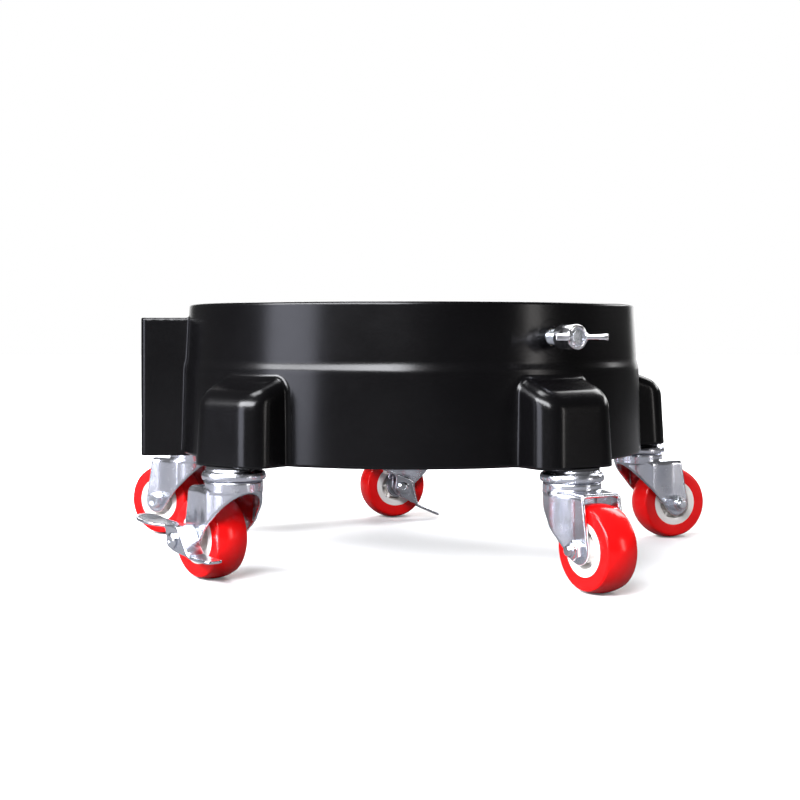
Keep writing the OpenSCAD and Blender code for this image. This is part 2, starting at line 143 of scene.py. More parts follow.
def surface(field, axes, warp=None, wrap=False, rounds=5):
    """Points and quads on the zero surface of a distance field, by surface nets on a grid of those axes."""
    grid = np.stack(np.meshgrid(*axes, indexing="ij"), -1)
    pts = warp(grid) if warp else grid
    val = field(pts[..., 0], pts[..., 1], pts[..., 2])
    if wrap:
        pts = np.concatenate((pts, pts[:1]), 0)
        val = np.concatenate((val, val[:1]), 0)
    inside = val < 0
    cells = tuple(n - 1 for n in val.shape)
    total, hits = np.zeros(cells + (3,)), np.zeros(cells)
    edges = []
    for a in range(3):
        b, c = [x for x in range(3) if x != a]
        low = [slice(None)] * 3
        high = [slice(None)] * 3
        low[a], high[a] = slice(0, -1), slice(1, None)
        v0, v1 = val[tuple(low)], val[tuple(high)]
        cross = inside[tuple(low)] != inside[tuple(high)]
        t = np.where(cross, v0 / np.where(cross, v0 - v1, 1), 0)
        at = pts[tuple(low)] * (1 - t[..., None]) + pts[tuple(high)] * t[..., None]
        for ob in (0, 1):
            for oc in (0, 1):
                pick = [slice(None)] * 3
                pick[b] = slice(0, cells[b]) if ob else slice(1, cells[b] + 1)
                pick[c] = slice(0, cells[c]) if oc else slice(1, cells[c] + 1)
                m = cross[tuple(pick)]
                total += np.where(m[..., None], at[tuple(pick)], 0)
                hits += m
        edges.append((a, b, c, cross, inside[tuple(low)]))
    live = hits > 0
    number = -np.ones(cells, int)
    number[live] = np.arange(live.sum())
    p = total[live] / hits[live][:, None]
    span = min(float(np.min(np.diff(np.unique(ax)))) for ax in axes[1:])
    step = 0.02
    for _ in range(rounds):
        f = field(p[:, 0], p[:, 1], p[:, 2])
        g = np.stack([
            (field(p[:, 0] + (step if i == 0 else 0), p[:, 1] + (step if i == 1 else 0),
                   p[:, 2] + (step if i == 2 else 0)) - f) / step for i in range(3)], -1)
        size = np.maximum((g ** 2).sum(-1), 0.05)
        move = -f[:, None] * g / size[:, None]
        far = np.linalg.norm(move, axis=1, keepdims=True)
        p = p + move * np.minimum(1, span * 0.8 / np.maximum(far, 1e-9))
    quads = []
    for a, b, c, cross, start_in in edges:
        ijk = np.argwhere(cross)
        ok = np.ones(len(ijk), bool)
        for d in (b, c):
            if wrap and d == 0:
                ok &= ijk[:, 0] < cells[0]
            else:
                ok &= (ijk[:, d] > 0) & (ijk[:, d] < cells[d])
        ijk = ijk[ok]

        def cell(db, dc):
            q = ijk.copy()
            q[:, b] += db
            q[:, c] += dc
            if wrap:
                q[:, 0] %= cells[0]
            return number[q[:, 0], q[:, 1], q[:, 2]]

        face = np.stack((cell(-1, -1), cell(0, -1), cell(0, 0), cell(-1, 0)), -1)
        flip = start_in[tuple(ijk.T)] != (a == 1)
        face[~flip] = face[~flip][:, ::-1]
        quads.append(face)
    quads = np.concatenate(quads)
    quads = quads[(quads >= 0).all(1)]
    return p, quads


def net_mesh(name, field, axes, warp=None, wrap=False):
    """A smooth closed mesh of a distance field, in millimetres."""
    p, quads = surface(field, axes, warp, wrap)
    v = p[quads]
    volume = np.einsum("ij,ij->i", v[:, 0], np.cross(v[:, 1], v[:, 2])).sum() \
        + np.einsum("ij,ij->i", v[:, 0], np.cross(v[:, 2], v[:, 3])).sum()
    if volume < 0:
        quads = quads[:, ::-1]
    return mesh_of(name, p, quads.tolist())


def lathe(name, profile, count=96, closed=True):
    """A mesh turned about the X axis from (x, radius) points."""
    pts, faces = [], []
    n = len(profile)
    for i in range(count):
        a = 2 * math.pi * i / count
        pts += [(x, r * math.cos(a), r * math.sin(a)) for x, r in profile]
    for i in range(count):
        j = (i + 1) % count
        for k in range(n if closed else n - 1):
            m = (k + 1) % n
            faces.append((i * n + k, i * n + m, j * n + m, j * n + k))
    return mesh_of(name, pts, faces)


def rounded(corners, r, arc=3):
    """A closed profile with its corners rounded; a corner may carry its own radius."""
    out = []
    n = len(corners)
    for i, c in enumerate(corners):
        rad = c[2] if len(c) > 2 else r
        p = np.array(c[:2], float)
        a = np.array(corners[i - 1][:2], float) - p
        b = np.array(corners[(i + 1) % n][:2], float) - p
        la, lb = np.linalg.norm(a), np.linalg.norm(b)
        a, b = a / la, b / lb
        turn = math.acos(max(-1, min(1, float(a @ b))))
        if rad <= 0 or turn > math.pi - 0.05:
            out.append(tuple(p))
            continue
        cut = min(rad / math.tan(turn / 2), la * 0.45, lb * 0.45)
        for s in range(arc + 1):
            t = s / arc
            q = p + a * cut * (1 - t) ** 2 + b * cut * t ** 2
            out.append(tuple(q))
    return out


def merged(name, *meshes):
    """One mesh from several, in millimetre-built meshes."""
    pts, faces, smooth = [], [], []
    for m in meshes:
        base = len(pts)
        pts += [v.co.copy() for v in m.vertices]
        for f in m.polygons:
            faces.append([base + i for i in f.vertices])
            smooth.append(f.use_smooth)
    out = bpy.data.meshes.new(name)
    out.from_pydata(pts, [], faces)
    out.polygons.foreach_set("use_smooth", smooth)
    out.update()
    return out


# ---------------------------------------------------------------- materials

class Nodes:
    """A small hand for building a node material."""

    def __init__(self, name):
        self.mat = bpy.data.materials.new(name)
        self.mat.use_nodes = True
        self.tree = self.mat.node_tree
        self.bsdf = self.tree.nodes["Principled BSDF"]
        self.place = self.add("ShaderNodeTexCoord").outputs["Object"]

    def add(self, kind, **values):
        node = self.tree.nodes.new(kind)
        for k, v in values.items():
            setattr(node, k, v)
        return node

    def set(self, **values):
        for k, v in values.items():
            self.bsdf.inputs[k.replace("_", " ")].default_value = v
        return self

    def noise(self, scale, detail=3.0, rough=0.55, stretch=None):
        n = self.add("ShaderNodeTexNoise")
        n.inputs["Scale"].default_value = scale
        n.inputs["Detail"].default_value = detail
        n.inputs["Roughness"].default_value = rough
        where = self.place
        if stretch:
            m = self.add("ShaderNodeMapping")
            m.inputs["Scale"].default_value = stretch
            self.tree.links.new(where, m.inputs["Vector"])
            where = m.outputs["Vector"]
        self.tree.links.new(where, n.inputs["Vector"])
        return n.outputs["Fac"]

    def cells(self, scale):
        n = self.add("ShaderNodeTexVoronoi")
        n.inputs["Scale"].default_value = scale
        self.tree.links.new(self.place, n.inputs["Vector"])
        return n.outputs["Distance"]

    def ramp(self, source, *stops):
        n = self.add("ShaderNodeValToRGB")
        r = n.color_ramp
        while len(r.elements) < len(stops):
            r.elements.new(0.5)
        for e, (at, colour) in zip(r.elements, stops):
            e.position = at
            e.color = (*colour, 1) if len(colour) == 3 else (colour[0],) * 3 + (1,)
        self.tree.links.new(source, n.inputs["Fac"])
        return n.outputs["Color"]

    def span(self, source, lo, hi, to_lo, to_hi):
        n = self.add("ShaderNodeMapRange")
        for k, v in (("From Min", lo), ("From Max", hi), ("To Min", to_lo), ("To Max", to_hi)):
            n.inputs[k].default_value = v
        self.tree.links.new(source, n.inputs["Value"])
        return n.outputs["Result"]

    def maths(self, kind, a, b):
        n = self.add("ShaderNodeMath", operation=kind)
        for i, x in enumerate((a, b)):
            if isinstance(x, (int, float)):
                n.inputs[i].default_value = x
            else:
                self.tree.links.new(x, n.inputs[i])
        return n.outputs["Value"]

    def to(self, socket, source):
        self.tree.links.new(source, self.bsdf.inputs[socket])
        return self

    def bump(self, source, strength, distance):
        n = self.add("ShaderNodeBump")
        n.inputs["Strength"].default_value = strength
        n.inputs["Distance"].default_value = distance
        last = self.bsdf.inputs["Normal"]
        if last.is_linked:
            self.tree.links.new(last.links[0].from_socket, n.inputs["Normal"])
        self.tree.links.new(source, n.inputs["Height"])
        self.tree.links.new(n.outputs["Normal"], last)
        return self


def black_plastic():
    m = Nodes("black_plastic")
    m.set(Specular_IOR_Level=0.27, IOR=1.5)
    patch = m.noise(14, 4)
    m.to("Base Color", m.ramp(patch, (0.3, (0.0011, 0.0010, 0.0012)), (0.7, (0.0019, 0.0018, 0.0021))))
    fine = m.noise(900, 2, 0.6)
    broad = m.span(m.noise(32, 4), 0.3, 0.7, 0.20, 0.24)
    m.to("Roughness", m.maths("ADD", broad, m.span(fine, 0.3, 0.7, -0.02, 0.02)))
    m.bump(fine, 0.08, 0.0002)
    m.bump(m.noise(60, 2), 0.04, 0.0008)
    return m.mat


def red_tyre():
    m = Nodes("red_tyre")
    m.set(Specular_IOR_Level=0.36, IOR=1.5)
    patch = m.noise(45, 3)
    m.to("Base Color", m.ramp(patch, (0.3, (0.74, 0.0030, 0.0036)), (0.7, (0.82, 0.0046, 0.0050))))
    m.to("Roughness", m.span(m.noise(110, 4), 0.3, 0.7, 0.15, 0.22))
    m.bump(m.noise(85, 2), 0.05, 0.0006)
    m.bump(m.noise(1400, 2), 0.03, 0.0001)
    return m.mat


def white_hub():
    m = Nodes("white_hub")
    m.set(Specular_IOR_Level=0.45)
    m.to("Base Color", m.ramp(m.noise(60, 3), (0.3, (0.80, 0.76, 0.72)), (0.7, (0.87, 0.85, 0.82))))
    m.to("Roughness", m.span(m.noise(140, 3), 0.3, 0.7, 0.32, 0.42))
    m.bump(m.noise(900, 2), 0.05, 0.0001)
    return m.mat


def metal(name, dark, light, rough, grain, spangle, streak=None, bump=0.06):
    m = Nodes(name)
    m.set(Metallic=1.0)
    broad = m.noise(spangle, 5, 0.6, streak)
    m.to("Base Color", m.ramp(broad, (0.32, dark), (0.68, light)))
    soft = m.span(m.noise(spangle * 2.3, 4), 0.3, 0.7, rough[0], rough[1])
    m.to("Roughness", m.maths("ADD", soft, m.span(m.noise(grain, 3), 0.3, 0.7, -0.03, 0.03)))
    m.bump(m.noise(grain, 2, 0.6, streak), bump, 0.0002)
    m.bump(m.noise(spangle, 2), bump, 0.0008)
    return m.mat


MATERIALS = {
    "black_plastic": black_plastic(),
    "red_tyre": red_tyre(),
    "white_hub": white_hub(),
    "zinc_plate": metal("zinc_plate", (0.74, 0.76, 0.84), (0.86, 0.87, 0.93),
                        (0.20, 0.27), 1400, 70, bump=0.018),
    "lever_steel": metal("lever_steel", (0.66, 0.69, 0.76), (0.78, 0.80, 0.86),
                         (0.20, 0.27), 1400, 80, bump=0.015),
    "cast_zinc": metal("cast_zinc", (0.80, 0.80, 0.83), (0.90, 0.90, 0.93),
                       (0.16, 0.24), 900, 120, bump=0.03),
    "fastener_steel": metal("fastener_steel", (0.70, 0.74, 0.80), (0.84, 0.87, 0.92),
                            (0.16, 0.24), 1400, 120, bump=0.02),
    "bearing_steel": metal("bearing_steel", (0.70, 0.71, 0.73), (0.84, 0.85, 0.87), (0.08, 0.16), 1200, 120),
    "dark_steel": metal("dark_steel", (0.24, 0.25, 0.27), (0.40, 0.41, 0.43), (0.34, 0.46), 800, 120),
    "insert_brass": metal("insert_brass", (0.62, 0.46, 0.20), (0.78, 0.62, 0.32), (0.24, 0.34), 1500, 160),
}


def matt_black(name, low, high, rough):
    m = Nodes(name)
    m.set(Specular_IOR_Level=0.35)
    m.to("Base Color", m.ramp(m.noise(120, 3), (0.3, low), (0.7, high)))
    m.to("Roughness", m.span(m.noise(300, 3), 0.3, 0.7, rough, rough + 0.12))
    m.bump(m.noise(1200, 2), 0.12, 0.0002)
    return m.mat


MATERIALS["black_washer"] = matt_black("black_washer", (0.010, 0.010, 0.011), (0.020, 0.020, 0.021), 0.45)
MATERIALS["pad_plastic"] = matt_black("pad_plastic", (0.030, 0.030, 0.033), (0.048, 0.048, 0.052), 0.5)


# ---------------------------------------------------------------- the ring

BORE_R = RECORD["mounts"][0]["dims"]["r_mm"] if RECORD.get("mounts") else 143.0
RIM_R, BAND_R, SKIRT_TOP_R, SKIRT_R = BORE_R + 4.3, BORE_R + 6.2, BORE_R + 7.3, BORE_R + 8.8
SHOULDER_Z = RIM_Z - 38.5
LEDGE_IN, RIM_ROUND = BORE_R - 31, 1.7
BOSS_HALF, BOSS_REACH, BOSS_H, BOSS_RISE, BOSS_DRAFT = 27.5, SKIRT_R + 25.3, 41.5, 13.5, 2.0
BOSS_EDGE, BOSS_CORNER = 8.0, 13.0
BOSS_ROOT = BORE_R - 5
SHELL = 3.5
CONE = math.radians(15)
STEM_HOLE_R, STEM_HOLE_H = 7.0, 31.0
POCKET_AZ, POCKET_HALF, POCKET_TOP = -84.0, 24.0, RIM_Z - 8.5


def azimuth(x, y):
    return math.degrees(math.atan2(x, -y))


SWIVEL = {c: np.array(JOINTS["swivel_" + c]["pos_m"]) / MM for c in CASTERS}
BOSS_AZ = {c: azimuth(*SWIVEL[c][:2]) for c in CASTERS}
SWIVEL_R = float(np.hypot(*SWIVEL["rear"][:2]))
SCREW_OUT = {s: -np.array(JOINTS["turn_" + s]["axis"]) for s in SCREWS}
SCREW_Z = JOINTS["turn_" + SCREWS[0]]["pos_m"][2] / MM
SCREW_AZ = {s: azimuth(*SCREW_OUT[s][:2]) for s in SCREWS}


def turned(x, y, az):
    """Tangential and outward places of a point beside an azimuth."""
    a = math.radians(az)
    return x * math.cos(a) + y * math.sin(a), x * math.sin(a) - y * math.cos(a)


def ring_field(x, y, z):
    r = np.hypot(x, y)
    up = z - RING_BOTTOM
    skirt = SKIRT_TOP_R + (SKIRT_R - SKIRT_TOP_R) * (SHOULDER_Z - z) / (SHOULDER_Z - RING_BOTTOM)
    band = RIM_R + (BAND_R - RIM_R) * (RIM_Z - z) / (RIM_Z - SHOULDER_Z)
    below = r - skirt
    above = r - band
    # the shoulder: a short cone between the skirt and the band above it
    ledge = (r - SKIRT_TOP_R - 0.15) * math.cos(CONE) + (z - SHOULDER_Z + 2.0) * math.sin(CONE)
    outer = rmin(above, rmax(below, ledge, 0.25), 0.25)
    wall = rmax(rmax(outer, z - RIM_Z, RIM_ROUND), BORE_R - r, 1.0)
    seat = rmax(rmax(z, -r + LEDGE_IN, 1.0), r - BORE_R - 2, 0.5)
    body = rmin(wall, seat, 2.0)
    blend = 2.4
    for az in BOSS_AZ.values():
        t, o = turned(x, y, az)
        near = (o > BORE_R - 20) & (np.abs(t) < 60)
        side = (np.abs(t) - BOSS_HALF + BOSS_DRAFT * up / 55.0)
        front = o - BOSS_REACH + BOSS_DRAFT * up / BOSS_H
        slope = BOSS_RISE / (BOSS_REACH - BOSS_DRAFT - BOSS_ROOT)
        top = (up - BOSS_H - (BOSS_REACH - BOSS_DRAFT - o) * slope) / math.hypot(1, slope)
        upright = rmax(side, front, BOSS_CORNER)
        boss = rmax(upright, top, BOSS_EDGE)
        boss = np.maximum(boss, BORE_R + 2 - o)
        body = np.where(near, rmin(body, boss, blend), body)
        inset = SHELL + BOSS_DRAFT
        hollow = rmax(np.abs(t) - BOSS_HALF + inset, o - BOSS_REACH + inset, BOSS_CORNER - inset)
        hollow = rmax(hollow, up - BOSS_H + SHELL + 2, 3.0)
        hollow = rmax(hollow, SKIRT_R + 0.5 - o, 1.5)
        post = np.hypot(t, o - SWIVEL_R) - STEM_HOLE_R - 1.5 - 2.45
        hollow = rmax(hollow, -post, 1.2)
        bore = np.maximum(np.hypot(t, o - SWIVEL_R) - STEM_HOLE_R, up - STEM_HOLE_H)
        body = np.where(near, rmax(rmax(body, -hollow, 0.6), -bore, 0.4), body)
    t, o = turned(x, y, POCKET_AZ)
    near = (o > BORE_R - 20) & (np.abs(t) < 50)
    outside = rmax(rmax(np.abs(t) - POCKET_HALF, o - BOSS_REACH, 4.0), z - POCKET_TOP, 1.0)
    outside = np.maximum(outside, BORE_R + 2 - o)
    space = rmax(rmax(np.abs(t) - POCKET_HALF + SHELL, o - BOSS_REACH + SHELL, 1.5),
                 np.maximum(SKIRT_R + 0.5 - o, POCKET_BOTTOM + SHELL - z), 1.5)
    body = rmax(body, RING_BOTTOM - z, 0.8)
    outside = rmax(outside, POCKET_BOTTOM - z, 0.8)
    body = np.where(near, rmax(rmin(body, outside, 1.6), -space, 0.8), body)
    for az in SCREW_AZ.values():
        t, o = turned(x, y, az)
        near = (o > BORE_R - 12) & (np.abs(t) < 20)
        across = np.hypot(t, z - SCREW_Z)
        hole = np.minimum(across - 5.1, np.maximum(across - 7.6, o - BORE_R - 3.7))
        body = np.where(near, rmax(body, -hole, 0.3), body)
    return body


def ring_axes():
    """Finer where the bosses, the pocket and the screws need it."""
    marks = np.arange(0.0, 360.0, 0.05)
    spacing = np.full(len(marks), 1.5)

    def fine(az, lo, hi, step):
        off = np.abs((marks - az + 180) % 360 - 180)
        hit = (off >= lo) & (off <= hi)
        spacing[hit] = np.minimum(spacing[hit], step)

    for az in BOSS_AZ.values():
        fine(az, 0, 12.0, 0.8)
        fine(az, 4.6, 11.4, 0.42)
    for az in SCREW_AZ.values():
        fine(az, 0, 3.4, 0.36)
    fine(POCKET_AZ, 6.2, 10.2, 0.36)
    theta = [0.0]
    while True:
        nxt = theta[-1] + float(np.interp(theta[-1], marks, spacing))
        if nxt > 360 - 0.2:
            break
        theta.append(nxt)
    radius = steps((LEDGE_IN - 2, 1.4), (LEDGE_IN + 2, 3.0), (BORE_R - 3, 1.0), (BORE_R + 11, 1.5),
                   (BOSS_REACH - 12, 1.1), (BOSS_REACH + 2, 1))
    height = steps((POCKET_BOTTOM - 1.2, 0.8), (RING_BOTTOM + 2, 1.3), (1.6, 2.4), (SHOULDER_Z - 18, 1.2),
                   (SHOULDER_Z - 1.6, 0.7), (SHOULDER_Z + 4, 1.2), (SCREW_Z + 10, 1.5), (RIM_Z - 3, 0.6),
                   (RIM_Z + 1.4, 1))
    return [np.radians(np.array(theta)), radius, height]


def round_warp(grid):
    a, r = grid[..., 0], grid[..., 1]
    return np.stack((r * np.sin(a), -r * np.cos(a), grid[..., 2]), -1)


link("ring_shell", net_mesh("ring_shell", ring_field, ring_axes(), round_warp, True),
     MATERIALS["black_plastic"], "ring", ["ring_body"])


def mould_mark(name, az, radius, wide, proud):
    """A faint raised line round a screw hole, following the band's wall."""
    pts, faces = [], []
    count, sides = 96, 8
    for i in range(count):
        b = 2 * math.pi * i / count
        for k in range(sides):
            c = 2 * math.pi * k / sides
            rad = radius + wide * math.cos(c)
            t, z = rad * math.sin(b), SCREW_Z + rad * math.cos(b)
            wall_r = RIM_R + (BAND_R - RIM_R) * (RIM_Z - z) / (RIM_Z - SHOULDER_Z)
            o = math.sqrt(wall_r ** 2 - t ** 2) + proud * math.sin(c) - 0.02
            a = math.radians(az)
            pts.append((t * math.cos(a) + o * math.sin(a), t * math.sin(a) - o * math.cos(a), z))
    for i in range(count):
        j = (i + 1) % count
        for k in range(sides):
            m = (k + 1) % sides
            faces.append((i * sides + k, i * sides + m, j * sides + m, j * sides + k))
    return link(name, mesh_of(name, pts, faces), MATERIALS["black_plastic"], "ring")


for s in SCREWS:
    mould_mark("mould_mark_" + s, SCREW_AZ[s], 10.6, 0.22, 0.10)


# ---------------------------------------------------------------- casters

RACE_H, DOME_H, FORK_T = 8.0, 3.4, 2.1
DOME_TOP = rows("race_cap_rear")[0][2] - 1.6
PLATE_TOP = DOME_TOP - DOME_H
PLATE_UNDER = PLATE_TOP - FORK_T
ROLL_AT, SWIVEL_AT = (np.array(JOINTS[j]["pos_m"]) for j in ("roll_rear", "swivel_rear"))
TRAIL = float(np.hypot(*(ROLL_AT - SWIVEL_AT)[:2])) / MM
TYRE_HALF, LEG_HALF, INNER_HALF = 10.25, 13.55, 11.45
PLAN_R, LEG_END_R, AXLE_R, KING_R = 16.5, 8.5, 3.0, 4.0


def caster_frame(c, at_axle):
    """The caster's own frame: X along the axle, -Y towards the wheel."""
    axis = Vector(JOINTS["roll_" + c]["axis"]).normalized()
    up = Vector((0, 0, 1))
    side = up.cross(axis)
    where = JOINTS["roll_" + c]["pos_m"] if at_axle else [*JOINTS["swivel_" + c]["pos_m"][:2], 0.0]
    m = Matrix((axis, side, up)).transposed().to_4x4()
    m.translation = Vector(where)
    return m


def touch(p, c, r, side):
    d = np.array(p) - np.array(c)
    a = math.atan2(d[1], d[0]) + side * math.acos(r / np.linalg.norm(d))
    return c[0] + r * math.cos(a), c[1] + r * math.sin(a)


def fork_outline():
    axle = (-TRAIL, AXLE_Z)
    back, front = (PLAN_R - 0.4, PLATE_TOP - 1.5), (-TRAIL - 2.6, PLATE_TOP)
    low_a = touch(back, axle, LEG_END_R, -1)
    low_b = touch(front, axle, LEG_END_R, 1)
    a0 = math.atan2(low_a[1] - axle[1], low_a[0] - axle[0])
    a1 = math.atan2(low_b[1] - axle[1], low_b[0] - axle[0])
    if a1 > a0:
        a1 -= 2 * math.pi
    ring_pts = [(axle[0] + LEG_END_R * math.cos(a0 + (a1 - a0) * i / 14),
                 axle[1] + LEG_END_R * math.sin(a0 + (a1 - a0) * i / 14)) for i in range(15)]
    return [(PLAN_R - 0.4, PLATE_TOP + 6)] + [back] + ring_pts + [(front[0], PLATE_TOP + 6)]


def fork_field(x, y, z):
    legs = np.maximum(np.abs(x) - LEG_HALF, y)
    plan = rmin(np.hypot(x, y) - PLAN_R, legs, 0.1)
    fillet = rmin(np.hypot(x, y) - PLAN_R, np.maximum(np.abs(x) - LEG_HALF, y + 6), 9.0)
    plan = np.minimum(plan, fillet)
    outer = rmax(plan, z - PLATE_TOP, 3.2)
    sheet = np.maximum(outer, -(outer + FORK_T))
    side = polygon_field(y, z, FORK_SIDE)
    sheet = rmax(sheet, side, 0.7)
    r = np.hypot(x, y)
    # the lower race, pressed up out of the top plate
    dome = rmax(r - 16.8, z - PLATE_TOP - DOME_H - 1.4, 1.6)
    dome = np.maximum(dome, PLATE_UNDER + 0.2 - z)
    dish = rmax(r - 15.0, -(z - PLATE_TOP - DOME_H), 0.8)
    dome = rmax(dome, -dish, 0.4)
    body = rmin(sheet, dome, 1.0)
    body = rmax(body, -(r - KING_R - 0.1), 0.3)
    axle = np.hypot(y + TRAIL, z - AXLE_Z)
    # the axle hole through both legs
    body = rmax(body, -(axle - AXLE_R - 0.05), 0.3)
    return body


FORK_SIDE = fork_outline()
fork_axes = [steps((-LEG_HALF - 4.2, 0.9), (-LEG_HALF - 1.0, 0.6), (-10.6, 1.1), (10.6, 0.6),
                   (LEG_HALF + 1.0, 0.9), (LEG_HALF + 4.2, 1)),
             steps((-TRAIL - LEG_END_R - 1.5, 0.9), (-15.0, 0.9), (18.6, 1)),
             steps((AXLE_Z - LEG_END_R - 1.5, 1.0), (PLATE_UNDER - 4, 0.6), (PLATE_TOP + DOME_H + 3, 1))]
fork_mesh = net_mesh("fork_stamping", fork_field, fork_axes)

cap_profile = rounded([
    (DOME_TOP + RACE_H, 5.55, 0.2), (DOME_TOP + RACE_H, 15.9, 0.2), (DOME_TOP + 7.2, 16.2, 0.3),
    (DOME_TOP + 6.7, 16.5, 0.3), (DOME_TOP + 5.9, 17.9, 1.2), (DOME_TOP + 4.2, 18.5, 1.4),
    (DOME_TOP + 2.6, 18.5, 0.8), (DOME_TOP + 1.6, 17.9, 0.4), (DOME_TOP + 1.6, 17.2, 0.2),
    (DOME_TOP + 2.8, 17.2, 0.3), (DOME_TOP + 2.8, 5.55, 0.2)],
    0.3, 4)
cap_mesh = lathe("cap_pressing", cap_profile)
# turns a mesh that was made along X so that it stands along Z
X_TO_Z = Matrix(((0, 0, 1, 0), (0, 1, 0, 0), (-1, 0, 0, 0), (0, 0, 0, 1))).transposed()

half = TYRE_HALF
CROWN_R, SHOULDER_R = WHEEL_R * 1.04, 1.7
turn = math.asin((half - SHOULDER_R) / (CROWN_R - SHOULDER_R))
shoulder_at = WHEEL_R - CROWN_R + (CROWN_R - SHOULDER_R) * math.cos(turn)


def bow(cx, cy, r, a0, a1, n):
    """Points of an arc, from angle a0 to a1, measured from the wheel's radius towards +X."""
    angles = [a0 + (a1 - a0) * i / n for i in range(n + 1)]
    return [(cx + r * math.sin(a), cy + r * math.cos(a)) for a in angles]


tyre_profile = [(-half + 0.15, 15.5), (-half + 0.02, 15.75), (-half, 16.2), (-half, 19.5)] \
    + bow(-half + SHOULDER_R, shoulder_at, SHOULDER_R, -math.pi / 2, -turn, 9) \
    + bow(0, WHEEL_R - CROWN_R, CROWN_R, -turn, turn, 14)[1:-1] \
    + bow(half - SHOULDER_R, shoulder_at, SHOULDER_R, turn, math.pi / 2, 9) \
    + [(half, 19.5), (half, 16.2), (half - 0.02, 15.75), (half - 0.15, 15.5)]
tyre_mesh = lathe("tyre_moulding", tyre_profile, 144)

hub_profile = rounded([
    (-INNER_HALF + 0.4, 4.55, 0.2), (-INNER_HALF + 0.4, 7.1, 0.4), (-3.0, 7.7, 1.0), (-3.0, 10.2, 1.0),
    (-half + 0.9, 10.9, 0.5), (-half + 0.12, 11.6, 0.4), (-half + 0.12, 15.45, 0.15),
    (half - 0.12, 15.45, 0.15), (half - 0.12, 11.6, 0.4), (half - 0.9, 10.9, 0.5),
    (3.0, 10.2, 1.0), (3.0, 7.7, 1.0), (INNER_HALF - 0.4, 7.1, 0.4), (INNER_HALF - 0.4, 4.55, 0.2)], 0.4, 4)
hub_core = lathe("hub_core", hub_profile)


def rib_field(x, y, z):
    arm = np.full(np.shape(x), 1e9)
    for i in range(6):
        a = math.radians(60 * i)
        along = y * math.cos(a) + z * math.sin(a)
        across = -y * math.sin(a) + z * math.cos(a)
        one = rmax(rmax(np.abs(across) - 0.9, np.abs(x) - 7.3, 0.4), capsule_ends(along, 6.6, 11.4), 0.3)
        arm = np.minimum(arm, one)
    return arm


rib_mesh = net_mesh("hub_ribs", rib_field, [steps((-8.6, 0.7), (8.6, 1)), steps((-13, 0.45), (13, 1)),
                                            steps((-13, 0.45), (13, 1))])
hub_mesh = merged("hub_moulding", hub_core, rib_mesh)


def thread_mesh(name, start, end, radius, pitch, depth, chamfer):
    """A threaded rod along X with a real helical ridge."""
    sides, per = 40, 10
    n = int((end - start) / pitch * per)
    pts, faces = [], []
    for i in range(n + 1):
        x = start + (end - start) * i / n
        for k in range(sides):
            a = 2 * math.pi * k / sides
            phase = (x / pitch - k / sides) % 1.0
            ridge = abs(phase * 2 - 1)
            ridge = min(1.0, max(0.0, ridge * 1.35 - 0.12))
            r = radius - depth * ridge
            edge = min(x - start, end - x)
            r = min(r, radius - depth * 1.1 + (edge if edge < chamfer else chamfer + depth))
            pts.append((x, r * math.cos(a), r * math.sin(a)))
    for i in range(n):
        for k in range(sides):
            m = (k + 1) % sides
            faces.append((i * sides + k, i * sides + m, (i + 1) * sides + m, (i + 1) * sides + k))
    for i, flip in ((0, True), (n, False)):
        x = start if i == 0 else end
        centre = len(pts)
        pts.append((x + (0.12 if i else -0.12), 0, 0))
        inner = len(pts)
        for k in range(sides):
            a = 2 * math.pi * k / sides
            pts.append((x, (radius - depth * 1.6) * math.cos(a), (radius - depth * 1.6) * math.sin(a)))
        for k in range(sides):
            m = (k + 1) % sides
            tri = (centre, inner + k, inner + m)
            quad = (inner + k, i * sides + k, i * sides + m, inner + m)
            faces.append(tri[::-1] if flip else tri)
            faces.append(quad[::-1] if flip else quad)
    return mesh_of(name, pts, faces)


def hex_field(x, y, z, start, end, across, cone):
    """A hexagonal prism along X, its two ends turned to a cone."""
    d = np.full(np.shape(x), -1e9)
    for i in range(3):
        a = math.radians(60 * i)
        d = np.maximum(d, np.abs(y * math.cos(a) + z * math.sin(a)) - across)
    r = np.hypot(y, z)
    d = rmax(d, capsule_ends(x, start, end), 0.25)
    for face in (capsule_ends(x, start, 1e3), capsule_ends(x, -1e3, end)):
        d = np.maximum(d, (r - across * 1.06) * 0.5 + face * cone)
    return d


NUT_LOW, NUT_HIGH = -LEG_HALF - 6.0, -LEG_HALF


def nut_field(x, y, z):
    body = hex_field(x, y, z, NUT_LOW + 1.9, NUT_HIGH, 4.95, 0.87)
    r = np.hypot(y, z)
    collar = rmax(r - 4.35, capsule_ends(x, NUT_LOW, NUT_LOW + 4), 1.1)
    body = rmin(body, collar, 0.5)
    return rmax(body, -(r - AXLE_R - 0.05), 0.35)


nut_mesh = net_mesh("lock_nut", nut_field, [steps((NUT_LOW - 1, 0.35), (NUT_HIGH + 0.8, 1)),
                                            steps((-6.4, 0.4), (6.4, 1)), steps((-6.4, 0.4), (6.4, 1))])


def head_field(x, y, z):
    body = hex_field(x, y, z, LEG_HALF, LEG_HALF + 4.0, 4.95, 0.87)
    r = np.hypot(y, z)
    flange = rmax(r - 5.6, capsule_ends(x, LEG_HALF, LEG_HALF + 0.9), 0.3)
    dish = np.sqrt((x - LEG_HALF - 12.0) ** 2 + r ** 2) - 8.35
    return rmax(rmin(body, flange, 0.3), -dish, 0.3)


